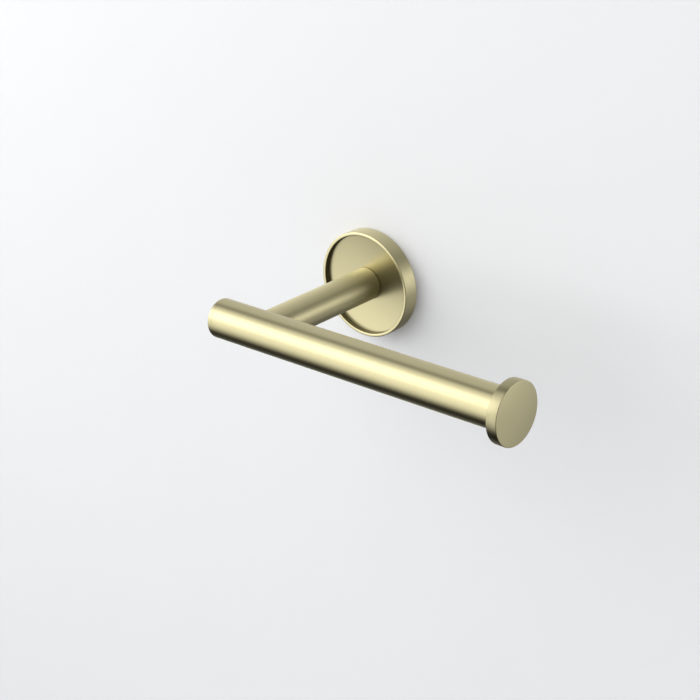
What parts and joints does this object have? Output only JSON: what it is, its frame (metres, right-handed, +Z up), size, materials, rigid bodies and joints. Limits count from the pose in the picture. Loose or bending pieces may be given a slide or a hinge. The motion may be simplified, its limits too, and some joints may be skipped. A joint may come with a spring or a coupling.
{
  "type": "toilet paper holder",
  "caption": "Wall-mounted toilet paper holder: round sunken flange, short post and an open-ended round bar with a stop disc, in brushed gold metal.",
  "frame": {"origin": "centre of the wall bracket's back face, on the wall and on the axis of the post", "axes": "+Y into the wall, -Y out of it along the post; +X along the bar towards the stop disc; +Z up"},
  "size_m": [0.1617, 0.1172, 0.0504],
  "materials": {
    "brushed_gold": "satin champagne gold, fine brushed grain",
    "plain_brass": "turned, uncoated",
    "stainless_steel": "plain machined",
    "black_steel": "black oxide",
    "nylon": "moulded, light grey"
  },
  "bodies": {
    "wall_fixing": {"wall_bracket": "stainless_steel", "wall_screw_left": "stainless_steel", "wall_plug_left": "nylon", "wall_screw_right": "stainless_steel", "wall_plug_right": "nylon"},
    "holder": {"flange_cover": "brushed_gold", "post_tube": "brushed_gold", "post_base_bush": "plain_brass", "locating_pin": "stainless_steel", "tie_bolt": "stainless_steel", "bar_tube": "brushed_gold", "cross_insert": "plain_brass", "bar_end_cap": "brushed_gold", "stop_insert": "plain_brass", "stop_stud": "stainless_steel", "stop_disc": "brushed_gold"},
    "set_screw": {"set_screw": "black_steel"}
  },
  "joints": [
    {"name": "holder_pull_off", "type": "slide", "parent": "wall_fixing", "child": "holder", "axis": [0, -1, 0], "range_m": [0, 0.012]},
    {"name": "set_screw_back_out", "type": "slide", "parent": "holder", "child": "set_screw", "axis": [0, 0, -1], "range_m": [0, 0.0015]}
  ]
}
